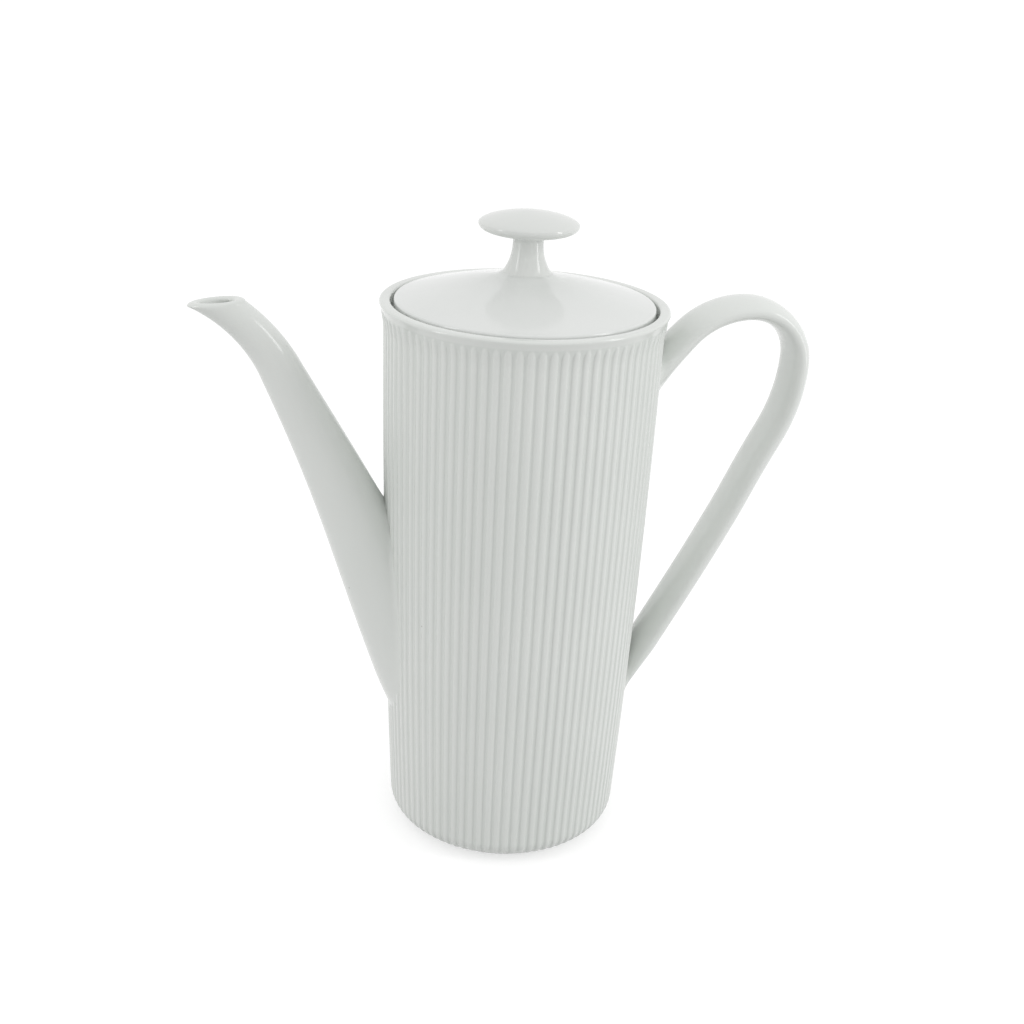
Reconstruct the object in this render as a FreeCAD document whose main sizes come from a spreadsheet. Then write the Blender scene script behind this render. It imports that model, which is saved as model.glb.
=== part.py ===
import FreeCAD, Part
import math
import os
import re
import Sketcher

# A tall porcelain coffee pot: reeded body, round tapering spout, strap handle, and a lid with a mushroom knob.
# Millimetres, +Z up. The origin is on the pot's axis in the plane of the table, with the spout towards -X.

SIZES = {
    # Reeded body
    "rim_height": 209.3,
    "groove_top_radius": 49.6,
    "groove_base_radius": 44.5,
    "side_bulge": 1.1,
    "base_round": 8.4,
    "reed_count": 83,
    "reed_rise": 0.011,
    "reed_share": 0.74,
    "reed_crest_share": 0.42,
    "reed_tip": 2.2,
    "base_reed_angle": 72.0,
    # Smooth band, rim and lid seat
    "band_height": 4.1,
    "band_step": 0.2,
    "rim_flare": 2.4,
    "rim_width": 4.3,
    "rim_bead": 1.4,
    "seat_depth": 5.0,
    "seat_width": 5.4,
    "seat_thickness": 5.0,
    # Inside and foot
    "wall": 4.0,
    "floor_thickness": 5.0,
    "floor_round": 6.0,
    "foot_height": 1.5,
    "foot_width": 3.4,
    "foot_recess": 1.0,
    # Lid
    "lid_gap": 1.2,
    "lid_edge": 4.1,
    "lid_edge_round": 2.0,
    "lid_rise": 11.6,
    "lid_bulge": 0.4,
    "lid_wall": 3.6,
    "seat_clearance": 0.2,
    "collar_clearance": 0.9,
    "collar_depth": 14.0,
    "collar_wall": 3.0,
    # Knob
    "stem_foot_radius": 8.7,
    "stem_foot_spread": 5.0,
    "stem_waist_radius": 5.4,
    "stem_height": 12.8,
    "stem_neck_round": 1.5,
    "knob_radius": 17.7,
    "knob_thickness": 8.5,
    "knob_edge": 3.4,
    "knob_crown": 3.1,
    # Spout
    "spout_lean": 24.66,
    "spout_root_reach": 26.4,
    "spout_root_height": 55.0,
    "spout_root_radius": 21.8,
    "spout_lip_radius": 5.73,
    "spout_taper": 1.53,
    "spout_bend_radius": 58.8,
    "spout_bend": 45.5,
    "spout_wall": 2.6,
    "bend_drop": 25.5,
    "lip_drop": 1.7,
    "lip_reach": 116.8,
    "lip_tilt": 5.0,
    "pour_hole_radius": 9.0,
    "pour_hole_height": 78.0,
    # Strap handle
    "handle_width": 19.0,
    "handle_thickness": 6.2,
    "handle_edge_round": 3.0,
    "handle_reach": 103.3,
    "handle_lean": 25.9,
    "handle_flank_radius": 64.0,
    "handle_bend_radius": 20.1,
    "handle_bend_drop": 21.9,
    "handle_arch_radius": 31.0,
    "handle_arch_angle": 46.0,
    # Film of slip that the spout and the handle are stuck on with
    "slip": 0.1,
}

# Sizes that follow from the driving ones
DERIVED = {
    "reed_top": "rim_height - band_height",
    "base_top": "foot_height + base_round",
    "side_middle": "(base_top + reed_top) / 2",
    "groove_middle_radius": "(groove_base_radius + groove_top_radius) / 2 + side_bulge",
    "rim_radius": "groove_top_radius + rim_flare",
    "rim_inside": "rim_radius - rim_width",
    "rim_crest": "rim_radius - rim_width / 2",
    "seat_height": "rim_height - seat_depth",
    "neck_radius": "rim_inside - seat_width",
    "ledge_bottom": "seat_height - seat_thickness",
    "wall_base_radius": "groove_base_radius - wall",
    "wall_top_radius": "groove_top_radius - wall",
    "floor_height": "foot_height + floor_thickness",
    "foot_radius": "groove_base_radius - base_round + foot_width / 2",
    "lid_radius": "rim_inside - lid_gap",
    "lid_seat": "seat_height + seat_clearance",
    "lid_brim": "lid_seat + lid_edge",
    "lid_top": "lid_brim + lid_rise",
    "dome_top": "lid_top - 0.3 * stem_foot_spread",
    "collar_radius": "neck_radius - collar_clearance",
    "collar_inside": "collar_radius - collar_wall",
    "knob_under": "lid_top + stem_height",
    "knob_top": "knob_under + knob_thickness",
    "knob_edge_top": "knob_top - knob_crown",
    "knob_edge_bottom": "knob_edge_top - knob_edge",
    "knob_inset": "knob_radius - knob_edge / 2",
    "stem_neck": "knob_under - stem_neck_round",
    "lip_height": "rim_height - lip_drop",
    "bend_height": "rim_height - bend_drop",
    "bend_reach": "spout_root_reach + (bend_height - spout_root_height) * tan(spout_lean)",
    "spout_run": "(bend_height - spout_root_height) / cos(spout_lean)",
    "spout_length": "spout_run + spout_bend_radius * spout_bend * pi / 180",
    "handle_bend_height": "rim_height - handle_bend_drop",
    "handle_bend_reach": "handle_reach - handle_bend_radius",
    "handle_crown": "handle_bend_height + handle_bend_radius",
    "handle_arch_height": "handle_crown - handle_arch_radius",
    "flank_reach": "handle_reach - handle_flank_radius * (1 - cos(handle_lean))",
    "flank_height": "handle_bend_height - handle_flank_radius * sin(handle_lean)",
    "lower_root_reach": "groove_base_radius - wall / 2",
    "lower_root_height": "flank_height - (flank_reach - lower_root_reach) / tan(handle_lean)",
    "arch_reach": "handle_bend_reach - handle_arch_radius * sin(handle_arch_angle)",
    "arch_height": "handle_arch_height + handle_arch_radius * cos(handle_arch_angle)",
    "upper_root_reach": "groove_top_radius - wall / 2",
    "upper_root_height": "arch_height - (arch_reach - upper_root_reach) * tan(handle_arch_angle)",
}

SHEET = "Sizes"
PARTS_FOLDER = "parts"
WORD = r"[a-z_]+"
FLAT_WITHIN = 1e-7
# Straight steps that stand for each curve of an outline
FINE_STEPS = 4
COARSE_STEPS = 3
BASE_RINGS = 3
SPOUT_RUN_STEPS = 4
SPOUT_BEND_STEPS = 6

doc = FreeCAD.newDocument("CoffeePot")
sheet = doc.addObject("Spreadsheet::Sheet", SHEET)


def fill_sheet():
    """Write each driving size to its own cell, with its name as the cell's alias."""
    for row, (name, number) in enumerate(SIZES.items(), start=1):
        sheet.set(f"A{row}", name)
        sheet.set(f"B{row}", str(number))
        sheet.setAlias(f"B{row}", name)
    doc.recompute()


def spelled_out(text):
    """Replace derived names by their own formulas until only driving sizes are left."""
    while any(name in DERIVED for name in re.findall(WORD, text)):
        text = re.sub(WORD, lambda m: f"({DERIVED[m[0]]})" if m[0] in DERIVED else m[0], text)
    return text


def formula(text):
    """A formula on the named sizes as an expression on the sheet's cells; angles are in degrees."""
    return re.sub(WORD, lambda m: f"{SHEET}.{m[0]}" if m[0] in SIZES else m[0], spelled_out(text))


def size(text):
    """The number that a formula on the named sizes comes to."""
    return float(sheet.evalExpression(spelled_out(text)))


def steps_of(count, place):
    """Line steps along a curve: place gives the point's two formulas for a share of the way from 0 to 1."""
    return [(place(round(index / count, 4)),) for index in range(1, count + 1)]


def new_sketch(body, name, role):
    """An empty sketch on one of the body's own origin planes."""
    sketch = body.newObject("Sketcher::SketchObject", name)
    plane = next(item for item in body.Origin.OriginFeatures if item.Role == role)
    sketch.AttachmentSupport = [(plane, "")]
    sketch.MapMode = "FlatFace"
    return sketch


def pin_point(sketch, geometry, end, place):
    """Hold one point of a sketch at a pair of formulas, or on an axis where a formula is 0."""
    for kind, axis, text in (("DistanceX", -2, place[0]), ("DistanceY", -1, place[1])):
        if text == "0":
            sketch.addConstraint(Sketcher.Constraint("PointOnObject", geometry, end, axis))
            continue
        index = sketch.addConstraint(Sketcher.Constraint(kind, -1, 1, geometry, end, size(text)))
        sketch.setExpression(f"Constraints[{index}]", formula(text))


def draw(sketch, start, steps, closed=True):
    """Draw lines and arcs from point to point; a step is (end,) for a line or (through, end) for an arc."""
    def point(place):
        return FreeCAD.Vector(size(place[0]), size(place[1]), 0)

    at = start
    first = None
    last = None
    for step in steps:
        end = step[-1]
        head, tail = 1, 2
        if len(step) == 1:
            index = sketch.addGeometry(Part.LineSegment(point(at), point(end)), False)
        else:
            through = point(step[0])
            clockwise = (through - point(at)).cross(point(end) - point(at)).z < 0
            ends = (point(end), point(at)) if clockwise else (point(at), point(end))
            head, tail = (2, 1) if clockwise else (1, 2)
            index = sketch.addGeometry(Part.Arc(ends[0], through, ends[1]), False)
            mark = sketch.addGeometry(Part.Point(through), True)
            sketch.addConstraint(Sketcher.Constraint("PointOnObject", mark, 1, index))
            pin_point(sketch, mark, 1, step[0])
        if last is None:
            first = (index, head)
            pin_point(sketch, index, head, start)
        else:
            sketch.addConstraint(Sketcher.Constraint("Coincident", last[0], last[1], index, head))
        last = (index, tail)
        at = end
        if not (closed and end == start):
            pin_point(sketch, index, tail, end)
    if closed:
        sketch.addConstraint(Sketcher.Constraint("Coincident", last[0], last[1], first[0], first[1]))


def turned(label, start, steps):
    """A body of revolution about the pot's axis, from an outline of (radius, height) points."""
    body = doc.addObject("PartDesign::Body", label)
    sketch = new_sketch(body, f"{label}_outline", "XZ_Plane")
    draw(sketch, start, steps)
    spin = body.newObject("PartDesign::Revolution", f"{label}_turn")
    spin.Profile = sketch
    spin.ReferenceAxis = (sketch, ["V_Axis"])
    spin.Angle = 360
    body.Tip = spin
    return body


def fused(label, pieces):
    whole = doc.addObject("Part::MultiFuse", label)
    whole.Shapes = pieces
    return whole


def cut(label, base, tools):
    """A base with one or more tools taken out of it."""
    rest = doc.addObject("Part::Cut", label)
    rest.Base = base
    rest.Tool = tools[0] if len(tools) == 1 else fused(f"{label}_tools", tools)
    return rest


def reed_ring(height, groove_radius, rise, share):
    """The corners of one level of the reeded wall: per reed, up one flank, over the crest and down the other."""
    count = int(size("reed_count"))
    pitch = 2 * math.pi / count
    foot = pitch * share / 2
    crest = foot * size("reed_crest_share")
    crest_radius = groove_radius * (1 + rise)
    section = ((-foot, groove_radius), (-crest, crest_radius), (crest, crest_radius), (foot, groove_radius))
    corners = []
    for index in range(count):
        for turn, radius in section:
            angle = math.pi + index * pitch + turn
            corners.append(FreeCAD.Vector(radius * math.cos(angle), radius * math.sin(angle), height))
    return corners


def reed_levels():
    """The levels of the reeds from their lower tips round the base and up the bulging side to their upper tips."""
    full = (size("reed_rise"), size("reed_share"))
    tip = (0.1 * full[0], 0.5 * full[1])
    base_round, base_top = size("base_round"), size("base_top")
    top, middle = size("reed_top"), size("side_middle")
    top_radius, middle_radius = size("groove_top_radius"), size("groove_middle_radius")
    levels = []
    for index in range(BASE_RINGS):
        angle = math.radians(size("base_reed_angle") * (1 - index / BASE_RINGS))
        radius = size("groove_base_radius") - base_round * (1 - math.cos(angle))
        levels.append(reed_ring(base_top - base_round * math.sin(angle), radius, *(full if index else tip)))
    levels.append(reed_ring(base_top, size("groove_base_radius"), *full))
    levels.append(reed_ring(middle, middle_radius, *full))
    below_tip = top - size("reed_tip")
    below_tip_radius = middle_radius + (top_radius - middle_radius) * (below_tip - middle) / (top - middle)
    levels.append(reed_ring(below_tip, below_tip_radius, *full))
    levels.append(reed_ring(top, top_radius, *tip))
    return levels


def flat_faces(corners):
    """One flat face on four corners, or two where they aren't in one plane."""
    a, b, c, d = corners
    normal = (b - a).cross(d - a)
    off = abs((c - a).dot(normal)) / normal.Length
    outlines = [(a, b, c, d)] if off < FLAT_WITHIN else [(a, b, c), (a, c, d)]
    return [Part.Face(Part.makePolygon(list(outline) + [outline[0]])) for outline in outlines]


def reeded_blank():
    """The reeded outside as a solid block with flat facets: each reed has two flanks and a crest, and ends in tips."""
    levels = reed_levels()
    faces = [Part.Face(Part.makePolygon(ring + ring[:1])) for ring in (levels[0], levels[-1])]
    for lower, upper in zip(levels, levels[1:]):
        for index in range(len(lower)):
            following = (index + 1) % len(lower)
            faces += flat_faces((lower[index], lower[following], upper[following], upper[index]))
    shell = Part.makeShell(faces)
    shell.sewShape()
    blank = doc.addObject("Part::Feature", "reeded_blank")
    blank.Shape = Part.makeSolid(shell)
    return blank


def rim_blank():
    """The smooth band that flares out over the reeds, and the outer half of the rim's rounded bead."""
    bead_low = "rim_height - rim_bead"
    steps = [(("groove_top_radius - band_step", "reed_top"),)]
    steps += steps_of(COARSE_STEPS, lambda t: (
        f"groove_top_radius - band_step + (rim_flare + band_step) * {t} ^ 2", f"reed_top + ({bead_low} - reed_top) * {t}"))
    steps += steps_of(FINE_STEPS, lambda t: (
        f"rim_crest + rim_width / 2 * cos({90 * t})", f"{bead_low} + rim_bead * sin({90 * t})"))
    steps += [(("0", "rim_height"),), (("0", "reed_top"),)]
    return turned("rim_blank", ("0", "reed_top"), steps)


def foot_blank():
    """The plain ring that the pot stands on, under the reeds' lower tips."""
    top = "base_top - base_round * sin(base_reed_angle)"
    steps = [(("foot_radius", "0"),), (("foot_radius", top),), (("0", top),), (("0", "0"),)]
    return turned("foot_blank", ("0", "0"), steps)


def foot_hollow():
    """The shallow recess under the floor, inside the foot ring."""
    inside = "foot_radius - foot_width"
    steps = [((inside, "0"),), ((f"{inside} - foot_recess", "foot_recess"),), (("0", "foot_recess"),), (("0", "0"),)]
    return turned("foot_hollow", ("0", "0"), steps)


def inside_space():
    """The hollow of the pot: rounded floor, tapering wall, lid seat, and the inner half of the rim's bead."""
    floor_edge = "wall_base_radius - floor_round"
    bead_low = "rim_height - rim_bead"
    steps = [((floor_edge, "floor_height"),)]
    steps += steps_of(FINE_STEPS, lambda t: (
        f"{floor_edge} + floor_round * sin({90 * t})", f"floor_height + floor_round * (1 - cos({90 * t}))"))
    steps += [
        (("groove_middle_radius - wall", "side_middle"),),
        (("wall_top_radius", "ledge_bottom - (wall_top_radius - neck_radius)"),),
        (("neck_radius", "ledge_bottom"),),
        (("neck_radius", "seat_height"),),
        (("rim_inside", "seat_height"),),
        (("rim_inside", bead_low),),
    ]
    steps += steps_of(FINE_STEPS, lambda t: (
        f"rim_crest - rim_width / 2 * cos({90 * t})", f"{bead_low} + rim_bead * sin({90 * t})"))
    steps += [(("rim_crest", "rim_height + rim_bead"),), (("0", "rim_height + rim_bead"),), (("0", "floor_height"),)]
    return turned("inside_space", ("0", "floor_height"), steps)


def wall_face():
    """The plain outside of the body just over the grooves, where the film of slip ends."""
    steps = [
        (("groove_base_radius + slip", "base_top"),),
        (("groove_middle_radius + slip", "side_middle"),),
        (("groove_top_radius + slip", "reed_top"),),
        (("0", "reed_top"),),
        (("0", "base_top"),),
    ]
    return turned("wall_face", ("0", "base_top"), steps)


def pour_hole():
    """The round hole through the wall behind the spout's root."""
    hole = doc.addObject("Part::Cylinder", "pour_hole")
    hole.Placement = FreeCAD.Placement(FreeCAD.Vector(), FreeCAD.Rotation(FreeCAD.Vector(0, 1, 0), -90))
    hole.setExpression("Radius", formula("pour_hole_radius"))
    hole.setExpression("Height", formula("3 * wall"))
    hole.setExpression("Placement.Base.x", formula("2 * wall - groove_base_radius"))
    hole.setExpression("Placement.Base.z", formula("pour_hole_height"))
    return hole


def spout_stations():
    """Formulas of (reach, height, lean, length so far) up the straight run and round the bend."""
    stations = []
    for index in range(SPOUT_RUN_STEPS):
        along = f"{index / SPOUT_RUN_STEPS} * spout_run"
        stations.append((f"spout_root_reach + {along} * sin(spout_lean)",
                         f"spout_root_height + {along} * cos(spout_lean)", "spout_lean", along))
    for index in range(SPOUT_BEND_STEPS + 1):
        part = index / SPOUT_BEND_STEPS
        lean = f"spout_lean + {part} * spout_bend"
        stations.append((f"bend_reach + spout_bend_radius * (cos(spout_lean) - cos({lean}))",
                         f"bend_height + spout_bend_radius * (sin({lean}) - sin(spout_lean))", lean,
                         f"spout_run + {part} * (spout_length - spout_run)"))
    return stations


def spout_tube(label, inset):
    """A round tube through circles square to the spout's line, tapering fast at first and then slowly."""
    circles = []
    for index, (reach, height, lean, along) in enumerate(spout_stations()):
        ring = doc.addObject("Part::Circle", f"{label}_ring_{index}")
        left = f"abs(1 - ({along}) / (spout_length))"
        ring.setExpression("Radius", formula(
            f"spout_lip_radius + (spout_root_radius - spout_lip_radius) * {left} ^ spout_taper - {inset}"))
        ring.Placement = FreeCAD.Placement(FreeCAD.Vector(), FreeCAD.Rotation(FreeCAD.Vector(0, 1, 0), -1))
        ring.setExpression("Placement.Base.x", formula(f"-({reach})"))
        ring.setExpression("Placement.Base.z", formula(height))
        ring.setExpression("Placement.Rotation.Angle", formula(f"-({lean})"))
        circles.append(ring)
    tube = doc.addObject("Part::Loft", label)
    tube.Sections = circles
    tube.Solid = True
    tube.Ruled = True
    return tube


def lip_block():
    """The block above the mouth, whose underside is the plane that the lip is trimmed to."""
    block = doc.addObject("Part::Box", "lip_block")
    block.Placement = FreeCAD.Placement(FreeCAD.Vector(), FreeCAD.Rotation(FreeCAD.Vector(0, 1, 0), 1))
    block.setExpression("Length", formula("3 * spout_bend_radius"))
    block.setExpression("Width", formula("2 * spout_bend_radius"))
    block.setExpression("Height", formula("spout_bend_radius"))
    block.setExpression("Placement.Base.x", formula("-(lip_reach + spout_bend_radius * cos(lip_tilt))"))
    block.setExpression("Placement.Base.y", formula("-spout_bend_radius"))
    block.setExpression("Placement.Base.z", formula("lip_height - spout_bend_radius * sin(lip_tilt)"))
    block.setExpression("Placement.Rotation.Angle", formula("-lip_tilt"))
    return block


def strap_corner(side, end, turn):
    """A quarter round of the strap's section: thickness along the first axis, width along the second."""
    return steps_of(COARSE_STEPS, lambda t: (
        f"{side} * (handle_thickness / 2 - handle_edge_round) + handle_edge_round * cos({turn + 90 * t})",
        f"{end} * (handle_width / 2 - handle_edge_round) + handle_edge_round * sin({turn + 90 * t})"))


def strap_outline():
    """The strap's section: a flat bar with rounded edges."""
    start = ("handle_thickness / 2", "handle_edge_round - handle_width / 2")
    steps = [(("handle_thickness / 2", "handle_width / 2 - handle_edge_round"),)]
    steps += strap_corner(1, 1, 0)
    steps += [(("handle_edge_round - handle_thickness / 2", "handle_width / 2"),)]
    steps += strap_corner(-1, 1, 90)
    steps += [(("-handle_thickness / 2", "handle_edge_round - handle_width / 2"),)]
    steps += strap_corner(-1, -1, 180)
    steps += [(("handle_thickness / 2 - handle_edge_round", "-handle_width / 2"),)]
    steps += strap_corner(1, -1, 270)[:-1]
    steps += [(start,)]
    return start, steps


def strap():
    """The handle's strap: a rounded bar carried up the flank, round the bend and over the arch to the wall."""
    body = doc.addObject("PartDesign::Body", "strap")
    path = new_sketch(body, "strap_path", "XZ_Plane")
    half_lean = "handle_lean / 2"
    half_arch = "handle_arch_angle / 2"
    steps = [
        (("flank_reach", "flank_height"),),
        ((f"handle_reach - handle_flank_radius * (1 - cos({half_lean}))",
          f"handle_bend_height - handle_flank_radius * sin({half_lean})"), ("handle_reach", "handle_bend_height")),
        (("handle_bend_reach + handle_bend_radius * cos(45)", "handle_bend_height + handle_bend_radius * sin(45)"),
         ("handle_bend_reach", "handle_crown")),
        ((f"handle_bend_reach - handle_arch_radius * sin({half_arch})",
          f"handle_arch_height + handle_arch_radius * cos({half_arch})"), ("arch_reach", "arch_height")),
        (("upper_root_reach", "upper_root_height"),),
    ]
    draw(path, ("lower_root_reach", "lower_root_height"), steps, closed=False)
    section = new_sketch(body, "strap_section", "XY_Plane")
    section.AttachmentOffset = FreeCAD.Placement(FreeCAD.Vector(), FreeCAD.Rotation(FreeCAD.Vector(0, 1, 0), 1))
    section.setExpression("AttachmentOffset.Base.x", formula("lower_root_reach"))
    section.setExpression("AttachmentOffset.Base.z", formula("lower_root_height"))
    section.setExpression("AttachmentOffset.Rotation.Angle", formula("handle_lean"))
    draw(section, *strap_outline())
    doc.recompute()
    pipe = body.newObject("PartDesign::AdditivePipe", "strap_sweep")
    pipe.Profile = section
    pipe.Spine = (path, [f"Edge{index + 1}" for index in range(len(steps))])
    pipe.Mode = "Frenet"
    body.Tip = pipe
    return body


def lid():
    """The lid: a low dome with a rounded edge, hollow underneath, with a deep collar that drops into the neck."""
    collar_end = "lid_seat - collar_depth"
    hollow_top = "dome_top - lid_wall"
    edge_low = "lid_brim - lid_edge_round"
    edge_inset = "lid_radius - lid_edge_round"
    dome_inset = "stem_foot_radius + stem_foot_spread"
    steps = [(("stem_foot_radius", "lid_top"),)]
    steps += steps_of(COARSE_STEPS, lambda t: (
        f"stem_foot_radius + stem_foot_spread * {t}", f"lid_top - (lid_top - dome_top) * (1 - (1 - {t}) ^ 2)"))
    steps += steps_of(COARSE_STEPS, lambda t: (
        f"{dome_inset} + ({edge_inset} - ({dome_inset})) * {t}",
        f"dome_top - (dome_top - lid_brim) * {t} + 4 * lid_bulge * {t} * {1 - t}"))
    steps += steps_of(COARSE_STEPS, lambda t: (
        f"{edge_inset} + lid_edge_round * sin({90 * t})", f"{edge_low} + lid_edge_round * cos({90 * t})"))
    steps += [
        (("lid_radius", "lid_seat"),),
        (("collar_radius", "lid_seat"),),
        (("collar_radius", collar_end),),
        (("collar_inside", collar_end),),
        (("collar_inside", "lid_seat"),),
        (("(collar_inside + stem_foot_radius) / 2", f"(lid_seat + {hollow_top}) / 2 + lid_bulge"),),
        (("stem_foot_radius", hollow_top),),
        (("0", hollow_top),),
        (("0", "lid_top"),),
    ]
    return turned("lid", ("0", "lid_top"), steps)


def lid_knob():
    """The knob: a waisted stem under a flattened mushroom cap with a soft edge."""
    stem_spread = "(stem_foot_radius - stem_waist_radius)"
    under_inset = "(stem_waist_radius + stem_neck_round)"
    steps = [(("stem_foot_radius", "lid_top"),)]
    steps += steps_of(FINE_STEPS, lambda t: (
        f"stem_waist_radius + {stem_spread} * {1 - t} ^ 2.5", f"lid_top + (stem_neck - lid_top) * {t}"))
    steps += steps_of(COARSE_STEPS, lambda t: (
        f"{under_inset} - stem_neck_round * cos({90 * t})", f"stem_neck + stem_neck_round * sin({90 * t})"))
    steps += steps_of(COARSE_STEPS, lambda t: (
        f"{under_inset} + (knob_inset - {under_inset}) * {t}",
        f"knob_under + (knob_edge_bottom - knob_under) * {t} ^ 2"))
    steps += steps_of(FINE_STEPS, lambda t: (
        f"knob_inset + knob_edge / 2 * sin({180 * t})",
        f"(knob_edge_bottom + knob_edge_top) / 2 - knob_edge / 2 * cos({180 * t})"))
    steps += steps_of(FINE_STEPS, lambda t: (
        f"knob_inset * {1 - t}" if t < 1 else "0", f"knob_top - knob_crown * {1 - t} ^ 2"))
    steps += [(("0", "lid_top"),)]
    return turned("lid_knob", ("0", "lid_top"), steps)


def assemble():
    """Trim and join the pieces as they are stuck together: spout and handle on the wall, knob on the lid."""
    face = wall_face()
    spout_blank = cut("spout_blank", spout_tube("spout_outside", "0"), [face])
    spout = cut("spout", spout_blank, [spout_tube("spout_bore", "spout_wall"), lip_block()])
    handle = cut("handle", strap(), [face])
    shell = fused("pot_shell", [reeded_blank(), rim_blank(), foot_blank()])
    pot_body = cut("pot_body", shell, [inside_space(), foot_hollow(), pour_hole(), spout_blank, handle])
    return [pot_body, spout, handle, lid(), lid_knob()]


def check(pieces):
    """Stop if any object failed, or a piece isn't one valid solid."""
    for item in doc.Objects:
        if "Invalid" in item.State or "Error" in item.State:
            raise RuntimeError(f"{item.Label} failed: {item.State}")
    for piece in pieces:
        shape = piece.Shape
        if shape.isNull() or not shape.isValid() or len(shape.Solids) != 1:
            raise RuntimeError(f"{piece.Label} is not one valid solid")


def write(pieces):
    """One file per piece, and a line on each piece's volume and extent."""
    os.makedirs(PARTS_FOLDER, exist_ok=True)
    for piece in pieces:
        piece.Shape.exportStep(os.path.join(PARTS_FOLDER, f"{piece.Label}.step"))
        box = piece.Shape.BoundBox
        print(f"{piece.Label}: {piece.Shape.Volume / 1000:.1f} cm3, "
              f"x {box.XMin:.1f} to {box.XMax:.1f}, z {box.ZMin:.1f} to {box.ZMax:.1f}")


fill_sheet()
made = assemble()
doc.recompute()
check(made)
write(made)
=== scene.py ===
import math

import bpy
import numpy as np
from mathutils import Matrix, Vector


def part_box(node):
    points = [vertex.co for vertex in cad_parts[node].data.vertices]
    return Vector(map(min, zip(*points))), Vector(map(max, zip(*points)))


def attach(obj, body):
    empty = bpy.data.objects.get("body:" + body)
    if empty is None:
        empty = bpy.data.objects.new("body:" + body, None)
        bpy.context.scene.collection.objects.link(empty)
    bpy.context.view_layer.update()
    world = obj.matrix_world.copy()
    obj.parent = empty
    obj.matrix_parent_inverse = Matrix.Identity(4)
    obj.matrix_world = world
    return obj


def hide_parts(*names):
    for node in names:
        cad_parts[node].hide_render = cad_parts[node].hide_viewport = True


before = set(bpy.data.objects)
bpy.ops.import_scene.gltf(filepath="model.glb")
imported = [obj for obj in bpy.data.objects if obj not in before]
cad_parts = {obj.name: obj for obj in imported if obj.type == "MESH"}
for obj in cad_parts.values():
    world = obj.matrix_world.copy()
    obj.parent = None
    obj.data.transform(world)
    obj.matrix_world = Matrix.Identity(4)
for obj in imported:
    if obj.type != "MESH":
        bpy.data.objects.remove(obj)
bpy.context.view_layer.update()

# A white porcelain coffee pot. The pot's lengths are in millimetres and go into the meshes as metres.
MM = 0.001


def extent(node):
    """A CAD node's lowest and highest corner in millimetres."""
    low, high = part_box(node)
    return np.array(low) / MM, np.array(high) / MM


# Sizes read from the frame
BODY_HIGH = extent("pot_body")[1]
LID_LOW, LID_HIGH = extent("lid")
KNOB_HIGH = extent("lid_knob")[1]
RIM_RADIUS = BODY_HIGH[0]
RIM_HEIGHT = BODY_HIGH[2]
LID_RADIUS = LID_HIGH[0]
COLLAR_END = LID_LOW[2]
KNOB_RADIUS = KNOB_HIGH[0]
KNOB_TOP = KNOB_HIGH[2]

# Innermost ring of a turned piece, closed by a fan
POLE_RADIUS = 0.5

# Reeds: REED_SHARE is a reed's share of the pitch, REED_END is the length of its rounded tip, REED_END_ROWS
# is the stretch in which rows lie closer, and REED_COLUMNS are columns out from its centre line, in pitches
REED_COUNT = 83
REED_RISE = 0.52
REED_SHARE = 0.68
REED_ROUNDNESS = 0.55
REED_TOP = RIM_HEIGHT - 3.5
REED_END = 3.4
REED_END_ROWS = 1.2 * REED_END
REED_COLUMNS = np.array([0.0, 0.11, 0.21, 0.285, 0.335, 0.41])

# Wall at the bottom of the grooves: BASE_START and BASE_FADE are degrees round the base's rounding
GROOVE_TOP = 49.6
GROOVE_BASE = 44.5
SIDE_BULGE = 1.1
BASE_ROUND = 8.4
BASE_TOP = 9.9
BASE_START = -82.0
BASE_FADE = (66.0, 80.0)

# Rim, seat, inside and foot: corners and bevels are (width, height)
RIM_WIDTH = 4.3
RIM_EDGE_ROUND = 0.9
RIM_FLARE_DEPTH = 11.0
RIM_INSIDE = RIM_RADIUS - RIM_WIDTH
SEAT_HEIGHT = RIM_HEIGHT - 5.0
SEAT_CORNER = (0.5, 0.6)
NECK_RADIUS = RIM_INSIDE - 5.4
NECK_BEVEL = (0.5, 0.5)
LEDGE_BOTTOM = SEAT_HEIGHT - 5.0
WALL = 4.0
FLOOR_HEIGHT = 6.5
FLOOR_ROUND = 6.0
FOOT_OUTSIDE = 37.8
FOOT_WIDTH = 3.4
FOOT_RECESS = 1.0
FOOT_INNER_BEVEL = (0.4, 0.2)
FOOT_OUTER_BEVEL = (0.5, 0.4)

# Pour hole behind the spout: the cut starts POUR_HOLE_PASS outside the wall, and steeper edges are sharp
POUR_HOLE_RADIUS = 9.0
POUR_HOLE_HEIGHT = 78.0
POUR_HOLE_SIDES = 64
POUR_HOLE_PASS = 1.0
POUR_HOLE_EDGE = math.radians(75.0)

# Lid: LID_EDGE_START is where the dome runs into the oval edge, in degrees
LID_SEAT = SEAT_HEIGHT + 0.2
LID_BRIM = LID_SEAT + 5.5
LID_SLOPE = 0.228
LID_BULGE = 0.5
LID_EDGE_INSET = 0.9
LID_EDGE_DROP = 1.1
LID_EDGE_START = 75.0
LID_UNDER_ROUND = 0.8
STEM_SPREAD = 1.5
STEM_SPREAD_LENGTH = 3.2
COLLAR_RADIUS = NECK_RADIUS - 0.9
COLLAR_WALL = 3.0
COLLAR_CORNER = 0.6
COLLAR_ROUND = 1.0
HOLLOW_CORNER = 1.0
LID_COLUMNS = 192

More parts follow.
